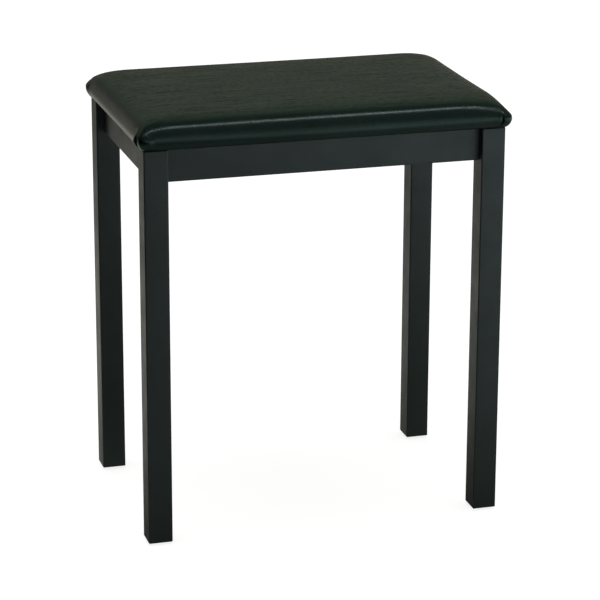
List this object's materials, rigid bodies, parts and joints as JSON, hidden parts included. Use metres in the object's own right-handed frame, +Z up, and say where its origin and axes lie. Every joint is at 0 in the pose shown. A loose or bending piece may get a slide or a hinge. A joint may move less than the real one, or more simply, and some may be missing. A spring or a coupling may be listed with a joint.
{
  "type": "piano stool",
  "caption": "Fixed-height piano stool with square wooden legs, apron rails and a padded leatherette seat with folded corners.",
  "frame": {"origin": "on the floor, under the middle of the stool", "axes": "+Z up, +X to the right along the long side of the seat, +Y to the back; the front long side faces -Y"},
  "size_m": [0.4362, 0.2868, 0.4998],
  "materials": {
    "painted_wood": "satin black paint",
    "leatherette": "black leatherette with a fine grain",
    "zinc_steel": "bright zinc plating",
    "plywood": "bare plywood",
    "foam": "open-cell foam",
    "glide_plastic": "matt black"
  },
  "bodies": {
    "root": {"front_left_leg": "painted_wood", "front_right_leg": "painted_wood", "rear_left_leg": "painted_wood", "rear_right_leg": "painted_wood", "front_rail": "painted_wood", "rear_rail": "painted_wood", "left_rail": "painted_wood", "right_rail": "painted_wood", "front_left_plate": "zinc_steel", "front_right_plate": "zinc_steel", "rear_left_plate": "zinc_steel", "rear_right_plate": "zinc_steel", "hanger_bolts": "zinc_steel", "bolt_washers": "zinc_steel", "bolt_nuts": "zinc_steel", "plate_screws": "zinc_steel", "seat_screws": "zinc_steel", "front_left_glide": "glide_plastic", "front_right_glide": "glide_plastic", "rear_left_glide": "glide_plastic", "rear_right_glide": "glide_plastic", "glide_nails": "zinc_steel", "seat_board": "plywood", "foam_pad": "foam", "seat_cover": "leatherette", "cover_staples": "zinc_steel"}
  },
  "joints": []
}
